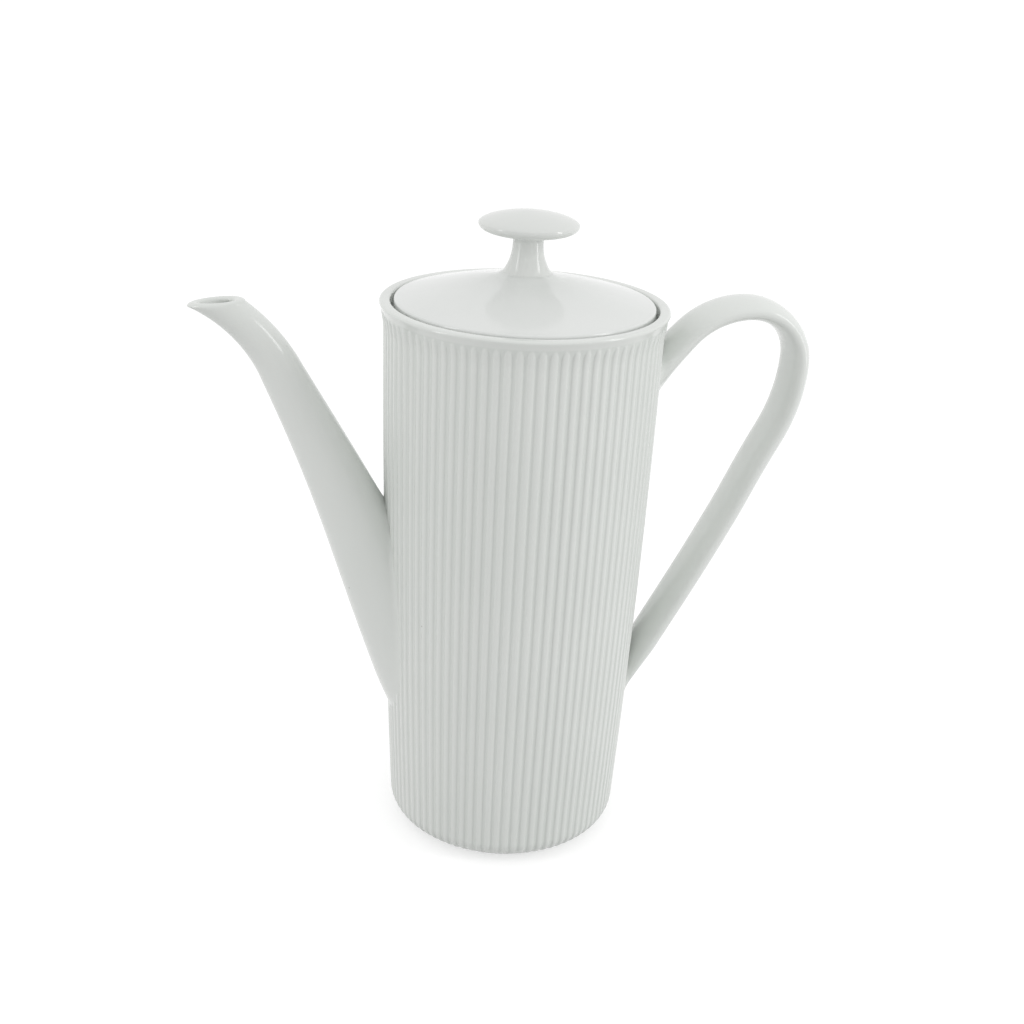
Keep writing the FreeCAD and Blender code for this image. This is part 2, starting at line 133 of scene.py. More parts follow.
# Knob: UNDER_START is where the cap's underside leaves the stem, in degrees, and NECK_FILLET holds (out, up)
STEM_FOOT = 8.7
SKIRT_SPREAD = 4.2
SKIRT_SINK = 0.5
STEM_WAIST = 5.4
STEM_SWEEP = 2.5
STEM_END = 231.6
NECK_FILLET = np.array([(0.5, -0.45), (1.2, -0.08)])
KNOB_EQUATOR = 237.1
KNOB_CROWN = KNOB_TOP - KNOB_EQUATOR
KNOB_DEPTH = 4.15
CROWN_FULLNESS = 1.64
CROWN_END = 89.0
UNDER_FULLNESS = 2.63
UNDER_START = 74.0
KNOB_COLUMNS = 128

# Spout: ROOT_TUCK_LENGTH, LIP_DISH and SPOUT_ROOT_SHARE are shares of its length
SPOUT_LEAN = math.radians(24.66)
SPOUT_ROOT_REACH = 26.4
SPOUT_ROOT_HEIGHT = 55.0
SPOUT_ROOT_RADIUS = 21.8
SPOUT_TAPER = 1.53
SPOUT_BOW = 0.65
SPOUT_BEND = math.radians(45.5)
SPOUT_BEND_RADIUS = 58.8
SPOUT_BEND_HEIGHT = RIM_HEIGHT - 25.5
SPOUT_WALL_ROOT = 2.8
SPOUT_WALL_LIP = 1.0
ROOT_TUCK = 1.1
ROOT_TUCK_LENGTH = 0.1
ROOT_TUCK_SWEEP = 1.5
LIP_RADIUS = 5.73
LIP_DISH = 0.06
LIP_REACH = 116.8
LIP_HEIGHT = RIM_HEIGHT - 1.7
LIP_TILT = math.radians(5.0)
LIP_ROUND = 1.2
SPOUT_COLUMNS = 144
SPOUT_ROOT_SHARE = 0.08

# Strap handle: spans and runs are lengths down from the bend or along the strap from the wall
STRAP_WIDTH = 21.0
STRAP_THICKNESS = 8.0
STRAP_FULLNESS = 2.15
STRAP_REACH = 103.3
STRAP_LEAN = math.radians(25.9)
FLANK_RADIUS = 64.0
FLANK_BOW = 1.0
FLANK_BOW_SPAN = (30.0, 108.0)
FLANK_BOW_FADE = 30.0
BEND_RADIUS = 20.1
BEND_HEIGHT = RIM_HEIGHT - 21.9
ARCH_RADIUS = 31.0
ARCH_ANGLE = math.radians(46.0)
FOOT_THINNING = 0.7
FOOT_THINNING_RUN = 18.0
FOOT_THINNING_SWEEP = 1.3
HEAD_SWELLING = 0.6
HEAD_SWELLING_RUN = 24.0
HEAD_SWELLING_LIMIT = 1.6
STRAP_COLUMNS = 64
STRAP_ROOT_SHARE = 0.05

# Fillets of slip round the roots, and how far the sweeps start inside the wall before they are trimmed to it:
# SPOUT_LEAD is a share of the spout's length
SLIP_SPREAD = 1.0
SLIP_REACH = 2.2
ROOT_DEPTH = 1.2
STRAP_LEAD = 12.0
SPOUT_LEAD = 0.12

# Finishes: one white clay under glaze; the lid's and handle's lighter copies are painted light for shade on
# them, the knob's a darker copy
GLAZE = (0.765, 0.785, 0.76)
LIT_LID_GLAZE = (0.785, 0.8, 0.785)
LIT_HANDLE_GLAZE = (0.79, 0.81, 0.785)
KNOB_GLAZE = (0.75, 0.765, 0.745)
# Painted shade: a darker, greener tint laid in the body's grooves, which is also the far end of the drifts of
# tone
DRIFT_AND_SHADE_TINT = np.array([0.9, 0.915, 0.905])
SPECK = (0.16, 0.13, 0.1)
GLAZE_IOR = 1.52

# Unevenness of the glaze: a pattern is (repeats in a metre, detail), and other pairs are the ends of a range
DRIFT_PATTERN = (14.0, 3.0)
DRIFT_NOISE = (0.35, 0.65)
DRIFT_SHARE = 0.35
# Share of the darker tint painted as shade at the bottoms of the grooves
GROOVE_SHADE_SHARE = 0.6
SPECK_SCALE = 85.0
SPECK_EDGE = (0.018, 0.03)
SPECK_CHANCE = (0.6, 0.62)
SPECK_STRENGTH = 0.6
GLOSS_PATTERN = (40.0, 2.0)
GLOSS_NOISE = (0.3, 0.7)
GLOSS_ROUGHNESS = (0.09, 0.17)
RIPPLE_PATTERN = (170.0, 1.0)
RIPPLE_STRENGTH = 0.04
RIPPLE_DEPTH = 0.0006

# Camera found from the ellipses of the rim and lid: metres and radians, with lens and sensor in millimetres
CAMERA_DISTANCE = 0.4860
CAMERA_HEIGHT = 0.3331
CAMERA_YAW = -0.002
CAMERA_PITCH = 0.399
CAMERA_ROLL = 0.050
CAMERA_LENS = 49.2
CAMERA_SENSOR = 36.0
SPOUT_TURN = math.radians(11.0)

# Stage, in metres
WORLD_LEVEL = 0.84
FLOOR_TONE = 0.58
FLOOR_ROUGHNESS = 0.9
FLOOR_SPECULAR = 0.1
FLOOR_GLOW = 0.56
FLOOR_REACH = 20.0
LAMP_AIM = Vector((0, 0, 0.13))

# Lamps: name, azimuth and elevation in degrees, distance, width, height and power
LAMPS = (
    ("key_strip", 74, 16, 0.85, 0.16, 0.8, 1.8),
    ("side_strip", -66, 16, 0.9, 0.12, 0.8, 1.1),
)


def smoothstep(low, high, x):
    """A smooth rise from 0 at low to 1 at high."""
    t = np.clip((x - low) / (high - low), 0, 1)
    return t * t * (3 - 2 * t)


def wall_radius(z):
    """Radius at the bottom of the grooves: a straight taper, a parabolic bulge and a parabolic rim flare."""
    t = np.clip((z - BASE_TOP) / (RIM_HEIGHT - BASE_TOP), 0, 1)
    line = GROOVE_BASE + (GROOVE_TOP - GROOVE_BASE) * t + SIDE_BULGE * 4 * t * (1 - t)
    flare = np.clip((z - RIM_HEIGHT) / RIM_FLARE_DEPTH + 1, 0, 1)
    return line + (RIM_RADIUS - GROOVE_TOP) * flare ** 2


def arc(centre, radii, start, end, count):
    """Points of an elliptical arc between two angles in degrees, as rows of (radius, height)."""
    a = np.radians(np.linspace(start, end, count))
    return np.stack([centre[0] + radii[0] * np.cos(a), centre[1] + radii[1] * np.sin(a)], axis=-1)


def run(start, end, count):
    """Evenly spaced points of a straight line, without its first point."""
    t = np.linspace(0, 1, count + 1)[1:, None]
    return np.array(start) * (1 - t) + np.array(end) * t


def mesh_piece(name, grid, closed_rows=False):
    """A closed mesh from a grid of points in millimetres: columns wrap round, rows end in fans or wrap too.

    Faces are turned round where the volume they enclose, a sum of triple products of corners, is negative.
    """
    rows, columns = grid.shape[:2]
    points = grid.reshape(-1, 3)
    index = np.arange(rows * columns).reshape(rows, columns)
    upper = np.roll(index, -1, axis=0) if closed_rows else index[1:]
    lower = index if closed_rows else index[:-1]
    lower_next, upper_next = np.roll(lower, -1, axis=1), np.roll(upper, -1, axis=1)
    quads = np.stack([lower, lower_next, upper_next, upper], axis=-1).reshape(-1, 4)
    fans = np.zeros((0, 3), dtype=np.int64)
    if not closed_rows:
        poles = np.array([grid[0].mean(axis=0), grid[-1].mean(axis=0)])
        first, last = len(points), len(points) + 1
        points = np.vstack([points, poles])
        start = np.stack([np.roll(index[0], -1), index[0], np.full(columns, first)], axis=-1)
        end = np.stack([index[-1], np.roll(index[-1], -1), np.full(columns, last)], axis=-1)
        fans = np.vstack([start, end])
    triangles = np.vstack([quads[:, [0, 1, 2]], quads[:, [0, 2, 3]], fans])
    corners = points[triangles]
    inside_out = np.einsum("ij,ij->i", corners[:, 0], np.cross(corners[:, 1], corners[:, 2])).sum() < 0
    if inside_out:
        quads, fans = quads[:, ::-1], fans[:, ::-1]
    mesh = bpy.data.meshes.new(name)
    mesh.vertices.add(len(points))
    mesh.vertices.foreach_set("co", (points * MM).astype(np.float32).ravel())
    sides = np.concatenate([np.full(len(quads), 4), np.full(len(fans), 3)])
    mesh.loops.add(int(sides.sum()))
    mesh.loops.foreach_set("vertex_index", np.concatenate([quads.ravel(), fans.ravel()]).astype(np.int32))
    mesh.polygons.add(len(sides))
    mesh.polygons.foreach_set("loop_start", (np.cumsum(sides) - sides).astype(np.int32))
    mesh.polygons.foreach_set("use_smooth", np.ones(len(sides), dtype=bool))
    mesh.update(calc_edges=True)
    mesh.validate()
    piece = bpy.data.objects.new(name, mesh)
    bpy.context.scene.collection.objects.link(piece)
    return piece


def store_groove_shade(piece, depth):
    """Store on each point how deep it lies in a groove, from 0 to 1, for painted shade there."""
    values = np.zeros(len(piece.data.vertices), dtype=np.float32)
    values[:depth.size] = depth.ravel()
    piece.data.attributes.new("groove_shade", "FLOAT", "POINT").data.foreach_set("value", values)


def spun(profile, columns):
    """A surface of revolution: each (radius, height) row carried round the pot's axis."""
    turn = np.linspace(0, 2 * math.pi, columns, endpoint=False)
    radius, height = profile[:, :1], profile[:, 1:] + 0 * turn
    return np.stack([radius * np.cos(turn), radius * np.sin(turn), height], axis=-1)


def body_outline():
    """Rows of (radius, height): under the floor, round the foot, up the wall, over the rim and down inside.

    Straight runs and quarter arcs, joined by the wall's own outline. Rows lie closer where the reeds end.
    """
    foot_inside = FOOT_OUTSIDE - FOOT_WIDTH
    foot = [
        (foot_inside, FOOT_INNER_BEVEL[1]),
        (foot_inside + FOOT_INNER_BEVEL[0], 0.0),
        (FOOT_OUTSIDE - FOOT_OUTER_BEVEL[0], 0.0),
        (FOOT_OUTSIDE, FOOT_OUTER_BEVEL[1]),
    ]
    base = arc((GROOVE_BASE - BASE_ROUND, BASE_TOP), (BASE_ROUND, BASE_ROUND), BASE_START, 0, 18)
    flare_start = RIM_HEIGHT - RIM_FLARE_DEPTH
    ends_start = REED_TOP - REED_END_ROWS
    edge_low = RIM_HEIGHT - RIM_EDGE_ROUND
    heights = np.concatenate([
        np.linspace(BASE_TOP, flare_start, 9)[1:-1],
        np.linspace(flare_start, ends_start, 5)[:-1],
        np.linspace(ends_start, REED_TOP, 12),
        np.linspace(REED_TOP, edge_low, 6)[1:],
    ])
    wall = np.stack([wall_radius(heights), heights], axis=-1)
    rounding = (RIM_EDGE_ROUND, RIM_EDGE_ROUND)
    wall_top = GROOVE_TOP - WALL
    slope_end = LEDGE_BOTTOM - (wall_top - NECK_RADIUS)
    seat = [
        (RIM_INSIDE, SEAT_HEIGHT + SEAT_CORNER[1]),
        (RIM_INSIDE - SEAT_CORNER[0], SEAT_HEIGHT),
        (NECK_RADIUS + NECK_BEVEL[0], SEAT_HEIGHT),
        (NECK_RADIUS, SEAT_HEIGHT - NECK_BEVEL[1]),
        (NECK_RADIUS, LEDGE_BOTTOM),
        (wall_top, slope_end),
    ]
    inner_heights = np.linspace(slope_end, FLOOR_HEIGHT + FLOOR_ROUND, 7)[1:-1]
    inner = np.stack([np.minimum(wall_radius(inner_heights) - WALL, wall_top), inner_heights], axis=-1)
    floor_edge = GROOVE_BASE - WALL - FLOOR_ROUND
    return np.vstack([
        run((POLE_RADIUS, FOOT_RECESS), (foot_inside - FOOT_RECESS, FOOT_RECESS), 3),
        foot, base, wall,
        arc((wall[-1, 0] - RIM_EDGE_ROUND, edge_low), rounding, 0, 90, 7)[1:],
        arc((RIM_INSIDE + RIM_EDGE_ROUND, edge_low), rounding, 90, 180, 7),
        seat, inner,
        arc((floor_edge, FLOOR_HEIGHT + FLOOR_ROUND), (FLOOR_ROUND, FLOOR_ROUND), 0, -90, 8),
        run((floor_edge, FLOOR_HEIGHT), (POLE_RADIUS, FLOOR_HEIGHT), 3),
    ])


def reeded_body():
    """The body: radius is the wall's outline plus a row of rounded reeds that end as fingers under the band.

    A reed's rise falls as a power of one minus the squared distance from its centre line, in half widths.
    In its finger end, the distance grows with the height too, so the end is a half oval. The reeds fade out
    under the base, and the first one stands behind the spout.
    """
    outline = body_outline()
    groove_middle = 0.5
    share = np.concatenate([-REED_COLUMNS[:0:-1], REED_COLUMNS, [groove_middle]])
    turn = (np.arange(REED_COUNT)[:, None] + share).ravel() * 2 * math.pi / REED_COUNT + math.pi
    off_centre = np.tile(share, REED_COUNT)
    radius, height = outline[:, :1], outline[:, 1:]
    pitch = 2 * math.pi * radius / REED_COUNT
    half_width = REED_SHARE * pitch / 2
    above = np.maximum(height - (REED_TOP - REED_END), 0) * half_width / REED_END
    distance = np.hypot(off_centre * pitch, above) / half_width
    rise = REED_RISE * np.maximum(1 - distance ** 2, 0) ** REED_ROUNDNESS
    angle = np.degrees(np.arcsin(np.clip((BASE_TOP - height) / BASE_ROUND, -1, 1)))
    low_end = 1 - smoothstep(*BASE_FADE, angle)
    outside = np.arange(len(outline))[:, None] < np.argmax(outline[:, 0])
    reeded = outside & (height > BASE_TOP - BASE_ROUND) & (height <= REED_TOP)
    rise = np.where(reeded, rise * low_end, 0)
    full = radius + rise
    grid = np.stack([full * np.cos(turn), full * np.sin(turn), np.broadcast_to(height, full.shape)], axis=-1)
    piece = mesh_piece("reeded_body", grid)
    # Painted shade: deepest at the bottoms of the grooves between the reeds, fading out under the base
    store_groove_shade(piece, np.where(reeded, (1 - rise / REED_RISE) * low_end, 0))
    return piece


def pierced(piece):
    """The piece with the round pour hole behind the spout: a level cylinder cut through the wall."""
    turn = np.linspace(0, 2 * math.pi, POUR_HOLE_SIDES, endpoint=False)
    through = -np.array([[GROOVE_TOP + POUR_HOLE_PASS], [NECK_RADIUS - WALL]])
    across = POUR_HOLE_RADIUS * np.cos(turn)[None, :]
    height = POUR_HOLE_HEIGHT + POUR_HOLE_RADIUS * np.sin(turn)[None, :]
    cutter = mesh_piece("pour_hole", np.stack(np.broadcast_arrays(through, across, height), axis=-1))
    cut = piece.modifiers.new("pour_hole", "BOOLEAN")
    cut.object = cutter
    cut.operation = "DIFFERENCE"
    cut.solver = "EXACT"
    whole = piece.data
    piece.data = bpy.data.meshes.new_from_object(piece.evaluated_get(bpy.context.evaluated_depsgraph_get()))
    piece.data.set_sharp_from_angle(angle=POUR_HOLE_EDGE)
    piece.modifiers.clear()
    bpy.data.meshes.remove(whole)
    bpy.data.meshes.remove(cutter.data)
    return piece


def dome_height(radius):
    """Height of the lid's top: a straight slope, a bulge of half a sine wave, and a sweep up to the stem."""
    edge = LID_RADIUS - LID_EDGE_INSET
    out = np.maximum(radius, STEM_FOOT)
    span = (edge - out) / (edge - STEM_FOOT)
    rise = LID_SLOPE * (edge - out) + LID_BULGE * np.sin(math.pi * span)
    return LID_BRIM + rise + STEM_SPREAD * np.exp(-(out - STEM_FOOT) / STEM_SPREAD_LENGTH)


def lid_outline():
    """Rows of (radius, height): the sloping dome, the rounded edge, and the collar with the hollow inside it.

    An arc after a straight run starts a step in, because the run already ends where the arc would begin.
    """
    edge = LID_RADIUS - LID_EDGE_INSET
    edge_low = LID_BRIM - LID_EDGE_DROP
    under_top = LID_SEAT + LID_UNDER_ROUND
    inside = COLLAR_RADIUS - COLLAR_WALL
    collar_top = LID_SEAT - COLLAR_CORNER
    collar_low = COLLAR_END + COLLAR_ROUND
    rounding = (COLLAR_ROUND, COLLAR_ROUND)
    radius = np.concatenate([np.linspace(POLE_RADIUS, STEM_FOOT, 4)[:-1], np.linspace(STEM_FOOT, edge, 40)])
    hollow_radius = np.linspace(inside - HOLLOW_CORNER, POLE_RADIUS, 14)
    return np.vstack([
        np.stack([radius, dome_height(radius)], axis=-1),
        arc((edge, edge_low), (LID_EDGE_INSET, LID_EDGE_DROP), LID_EDGE_START, 0, 9),
        run((LID_RADIUS, edge_low), (LID_RADIUS, under_top), 2),
        arc((LID_RADIUS - LID_UNDER_ROUND, under_top), (LID_UNDER_ROUND, LID_UNDER_ROUND), -15, -90, 5),
        [(COLLAR_RADIUS + COLLAR_CORNER, LID_SEAT), (COLLAR_RADIUS, collar_top)],
        run((COLLAR_RADIUS, collar_top), (COLLAR_RADIUS, collar_low), 3),
        arc((COLLAR_RADIUS - COLLAR_ROUND, collar_low), rounding, -20, -90, 4),
        arc((inside + COLLAR_ROUND, collar_low), rounding, -90, -160, 4),
        run((inside, collar_low), (inside, collar_top), 3),
        np.stack([hollow_radius, LID_SEAT + LID_SLOPE * (inside - hollow_radius)], axis=-1),
    ])


def lid_dome():
    """The lid: its outline carried round the pot's axis."""
    return mesh_piece("lid_dome", spun(lid_outline(), LID_COLUMNS))


def oval(angle, height, fullness):
    """Points of the knob's cap: its radius and a height, each times a power of the angle's cos or sin."""
    power = 2 / fullness
    radius = KNOB_RADIUS * np.cos(angle) ** power
    return np.stack([radius, KNOB_EQUATOR + height * np.sin(angle) ** power], axis=-1)


def knob_outline():
    """Rows of (radius, height): a skirt of slip that thins out on the dome, a stem, and a cap of two ovals.

    The skirt sinks into the dome as a square, and the stem narrows to its waist as a power of the way up.
    """
    w = np.linspace(1, 0, 12)[:-1]
    spread = STEM_FOOT + SKIRT_SPREAD * w
    skirt = np.stack([spread, dome_height(spread) - SKIRT_SINK * w ** 2], axis=-1)
    foot = skirt[0] - (SKIRT_SPREAD, SKIRT_SINK)
    t = np.linspace(0, 1, 16)
    stem_low = dome_height(STEM_FOOT)
    stem_radius = STEM_WAIST + (STEM_FOOT - STEM_WAIST) * (1 - t) ** STEM_SWEEP
    stem = np.stack([stem_radius, stem_low + (STEM_END - stem_low) * t], axis=-1)
    under = oval(np.radians(np.linspace(UNDER_START, 0, 18)), -KNOB_DEPTH, UNDER_FULLNESS)
    neck = NECK_FILLET + (STEM_WAIST, under[0, 1])
    crown = oval(np.radians(np.linspace(0, CROWN_END, 22))[1:], KNOB_CROWN, CROWN_FULLNESS)
    return np.vstack([[(POLE_RADIUS, foot[1]), foot], skirt, stem, neck, under, crown])


def mushroom_knob():
    """The knob: its outline carried round the pot's axis."""
    return mesh_piece("mushroom_knob", spun(knob_outline(), KNOB_COLUMNS))


def spout_line(length):
    """Reach, height, lean and radius along the spout, at shares of its length.

    A run that bows by one sine wave, then a round bend. The radius falls to the lip's as a power of what is
    left of the length, and is tucked in a little at the root.
    """
    straight = (SPOUT_BEND_HEIGHT - SPOUT_ROOT_HEIGHT) / math.cos(SPOUT_LEAN)
    total = straight + SPOUT_BEND_RADIUS * SPOUT_BEND
    lean = SPOUT_LEAN + np.maximum(length * total - straight, 0) / SPOUT_BEND_RADIUS
    along = np.minimum(length * total, straight)
    reach = SPOUT_ROOT_REACH + along * math.sin(SPOUT_LEAN)
    reach += SPOUT_BEND_RADIUS * (math.cos(SPOUT_LEAN) - np.cos(lean))
    reach += SPOUT_BOW * np.sin(2 * math.pi * np.clip(along / straight, 0, 1))
    height = SPOUT_ROOT_HEIGHT + along * math.cos(SPOUT_LEAN)
    height += SPOUT_BEND_RADIUS * (np.sin(lean) - math.sin(SPOUT_LEAN))
    radius = LIP_RADIUS + (SPOUT_ROOT_RADIUS - LIP_RADIUS) * np.maximum(1 - length, 0) ** SPOUT_TAPER
    radius -= ROOT_TUCK * np.maximum(1 - length / ROOT_TUCK_LENGTH, 0) ** ROOT_TUCK_SWEEP
    return reach, height, lean, radius


def spout_surface(turn, length, inset):
    """Points of the spout's tube, and its outward directions, at angles round it and shares of its length.

    Circles square to the spout's line, drawn in by the wall where inset is 1. The wall thins near the lip.
    """
    reach, height, lean, radius = spout_line(length)
    facing = np.cos(turn)
    out = np.stack([-np.cos(lean) * facing, np.sin(turn) + 0 * lean, -np.sin(lean) * facing], axis=-1)
    centre = np.stack([-reach, 0 * reach, height], axis=-1)
    from_lip = np.clip((1 - length) / LIP_DISH, 0, 1)
    wall = inset * (SPOUT_WALL_LIP + (SPOUT_WALL_ROOT - SPOUT_WALL_LIP) * from_lip)
    return centre + (radius - wall)[..., None] * out, out


def off_wall(points):
    """How far points lie outside the bottom of the grooves."""
    return np.hypot(points[..., 0], points[..., 1]) - wall_radius(points[..., 2])


def crossing(values, at):
    """Where each row of values last goes from below zero to above it, by interpolation along the row."""
    last = values.shape[-1] - 2 - np.argmax((values[..., :-1] < 0)[..., ::-1], axis=-1)
    low = np.take_along_axis(values, last[..., None], axis=-1)[..., 0]
    high = np.take_along_axis(values, last[..., None] + 1, axis=-1)[..., 0]
    return at[last] + (at[last + 1] - at[last]) * low / (low - high)


def slip_fillet(points, out):
    """Spread points near the wall along it, most at the wall and where the surface stands square on it."""
    near = np.clip(1 - off_wall(points) / SLIP_REACH, 0, 1)
    from_axis = points[..., :2] / np.linalg.norm(points[..., :2], axis=-1, keepdims=True)
    along_wall = 1 - (out[..., :2] * from_axis).sum(axis=-1) ** 2
    return points + out * (SLIP_SPREAD * near ** 2 * along_wall)[..., None]


def spout_tube():
    """The spout: from the wall up to the plane of the lip, over the rounded lip, and down the bore."""
    turn = np.linspace(0, 2 * math.pi, SPOUT_COLUMNS, endpoint=False)[:, None]
    share = np.linspace(-SPOUT_LEAD, 1, 800)
    near_root = np.linspace(0, SPOUT_ROOT_SHARE, 14)[:-1]
    steps = np.concatenate([near_root, np.linspace(SPOUT_ROOT_SHARE, 1, 90)])

    def between(inset):
        """The tube's points and outward directions, trimmed to the wall and to the plane of the lip."""
        points, _ = spout_surface(turn, share[None, :], inset)
        root = crossing(off_wall(points) + ROOT_DEPTH, share)
        plane = LIP_HEIGHT + (LIP_REACH + points[..., 0]) * math.tan(LIP_TILT)
        lip = crossing(points[..., 2] - plane, share)
        length = root[:, None] + (lip - root)[:, None] * steps[None, :]
        return spout_surface(turn, length, inset)

    outside, out = between(0.0)
    outside = slip_fillet(outside, out)
    bore, _ = between(1.0)
    half_turn = np.linspace(0, math.pi, 9)[1:-1, None]
    inward = ((1 - np.cos(half_turn)) / 2)[..., None]
    lip = outside[None, :, -1] + (bore[:, -1] - outside[:, -1])[None] * inward
    lip[..., 2] += LIP_ROUND * np.sin(half_turn)
    grid = np.concatenate([outside.transpose(1, 0, 2), lip, bore.transpose(1, 0, 2)[::-1]])
    return mesh_piece("spout_tube", grid, closed_rows=True)


def strap_path():
    """Evenly spaced points along the strap's middle from the lower root.

    A lean line, a long arc, a tight bend, an arch and a straight run. The lean line bows by half a sine wave.
    """
    lean, arch = math.degrees(STRAP_LEAN), math.degrees(ARCH_ANGLE)
    flank = (
        STRAP_REACH - FLANK_RADIUS * (1 - math.cos(STRAP_LEAN)),
        BEND_HEIGHT - FLANK_RADIUS * math.sin(STRAP_LEAN),
    )
    lower_reach = GROOVE_BASE - STRAP_LEAD
    lower = (lower_reach, flank[1] - (flank[0] - lower_reach) / math.tan(STRAP_LEAN))
    bend_reach = STRAP_REACH - BEND_RADIUS
    arch_height = BEND_HEIGHT + BEND_RADIUS - ARCH_RADIUS
    arch_end = (
        bend_reach - ARCH_RADIUS * math.sin(ARCH_ANGLE),
        arch_height + ARCH_RADIUS * math.cos(ARCH_ANGLE),
    )
    upper_reach = GROOVE_TOP - STRAP_LEAD
    upper = (upper_reach, arch_end[1] - (arch_end[0] - upper_reach) * math.tan(ARCH_ANGLE))
    path = np.vstack([
        [lower], run(lower, flank, 60),
        arc((STRAP_REACH - FLANK_RADIUS, BEND_HEIGHT), (FLANK_RADIUS, FLANK_RADIUS), -lean, 0, 40)[1:],
        arc((bend_reach, BEND_HEIGHT), (BEND_RADIUS, BEND_RADIUS), 0, 90, 40)[1:],
        arc((bend_reach, arch_height), (ARCH_RADIUS, ARCH_RADIUS), 90, 90 + arch, 40)[1:],
        run(arch_end, upper, 20),
    ])
    start, end = FLANK_BOW_SPAN
    drop = BEND_HEIGHT - path[:, 1]
    bow = np.sin(math.pi * (drop - start) / (end - start))
    path[:, 0] += FLANK_BOW * bow * smoothstep(start, start + FLANK_BOW_FADE, drop)
    length = np.concatenate([[0], np.cumsum(np.linalg.norm(np.diff(path, axis=0), axis=1))])
    even = np.linspace(0, length[-1], 600)
    return np.stack([np.interp(even, length, path[:, 0]), np.interp(even, length, path[:, 1])], axis=-1)


def strap_section():
    """The strap's closed section and its outward directions: an oval bar.

    Each half axis is multiplied by a power of the angle's cos or sin, with its sign kept. The directions are
    square to the oval at the same angles, and one long.
    """
    turn = np.linspace(0, 2 * math.pi, STRAP_COLUMNS, endpoint=False)
    half = np.array([STRAP_THICKNESS, STRAP_WIDTH]) / 2
    way = np.stack([np.cos(turn), np.sin(turn)], axis=-1)
    points = half * np.sign(way) * np.abs(way) ** (2 / STRAP_FULLNESS)
    out = np.sign(way) * np.abs(way) ** (2 - 2 / STRAP_FULLNESS) / half
    return points, out / np.linalg.norm(out, axis=-1, keepdims=True)


def strap_handle():
    """The handle: the strap's section carried along its path, between the places where it meets the wall."""
    path = strap_path()
    ahead = np.gradient(path, axis=0)
    ahead /= np.linalg.norm(ahead, axis=1, keepdims=True)
    section, out = strap_section()
    share = np.linspace(0, 1, len(path))
    stride = np.linalg.norm(np.diff(path, axis=0), axis=1).sum()
    free = share[path[:, 0] > wall_radius(path[:, 1])]
    at_foot, at_head = free[0], free[-1]

    def at(length):
        """Points and outward directions of the strap at shares of the path's length, a row per section point.

        The outer half of the section thins towards the lower root, and the inner half swells towards the
        upper one, each by a power of the nearness to the wall.
        """
        place = [np.interp(length, share, path[:, axis]) for axis in (0, 1)]
        way = [np.interp(length, share, ahead[:, axis]) for axis in (0, 1)]
        near_foot = np.clip(1 - (length - at_foot) * stride / FOOT_THINNING_RUN, 0, 1)
        near_head = np.clip(1 - (at_head - length) * stride / HEAD_SWELLING_RUN, 0, HEAD_SWELLING_LIMIT)
        thinning = FOOT_THINNING * near_foot ** FOOT_THINNING_SWEEP
        swelling = HEAD_SWELLING * near_head ** 2
        depth = section[:, :1] * np.where(section[:, :1] > 0, 1 - thinning, 1 + swelling)
        across = section[:, 1:] + 0 * length
        points = np.stack([place[0] + depth * way[1], across, place[1] - depth * way[0]], axis=-1)
        outward = np.stack([out[:, :1] * way[1], out[:, 1:] + 0 * length, -out[:, :1] * way[0]], axis=-1)
        return points, outward

    middle = len(share) // 2
    points, _ = at(np.broadcast_to(share, (len(section), len(share))))
    clear = off_wall(points) + ROOT_DEPTH
    low = crossing(clear[:, :middle], share[:middle])
    high = 1 - crossing(clear[:, ::-1][:, :middle], share[:middle])
    ends = np.linspace(0, STRAP_ROOT_SHARE, 12)
    between = np.linspace(STRAP_ROOT_SHARE, 1 - STRAP_ROOT_SHARE, 130)
    steps = np.concatenate([ends[:-1], between, (1 - ends[::-1])[1:]])
    points, outward = at(low[:, None] + (high - low)[:, None] * steps[None, :])
    return mesh_piece("strap_handle", slip_fillet(points, outward).transpose(1, 0, 2))


def ranged(tree, value, given, wanted):
    """The value carried from one range to another by straight interpolation, and kept within the second."""
    node = tree.nodes.new("ShaderNodeMapRange")
    for name, number in zip(("From Min", "From Max", "To Min", "To Max"), (*given, *wanted)):
        node.inputs[name].default_value = number
    tree.links.new(value, node.inputs["Value"])
    return node.outputs["Result"]


def combined(tree, operation, first, second):
    """Two values put through one step of arithmetic, and kept between 0 and 1."""
    node = tree.nodes.new("ShaderNodeMath")
    node.operation = operation
    node.use_clamp = True
    tree.links.new(first, node.inputs[0])
    tree.links.new(second, node.inputs[1])
    return node.outputs["Value"]


def mixed(tree, share, first, second):
    """Two colours mixed, the second by its share."""
    node = tree.nodes.new("ShaderNodeMix")
    node.data_type = "RGBA"
    tree.links.new(share, node.inputs["Factor"])
    tree.links.new(first, node.inputs["A"])
    tree.links.new(second, node.inputs["B"])
    return node.outputs["Result"]


def noise(tree, place, scale, detail):
    """A cloudy pattern at a place on the piece."""
    node = tree.nodes.new("ShaderNodeTexNoise")
    node.inputs["Scale"].default_value = scale
    node.inputs["Detail"].default_value = detail
    tree.links.new(place, node.inputs["Vector"])
    return node.outputs["Fac"]


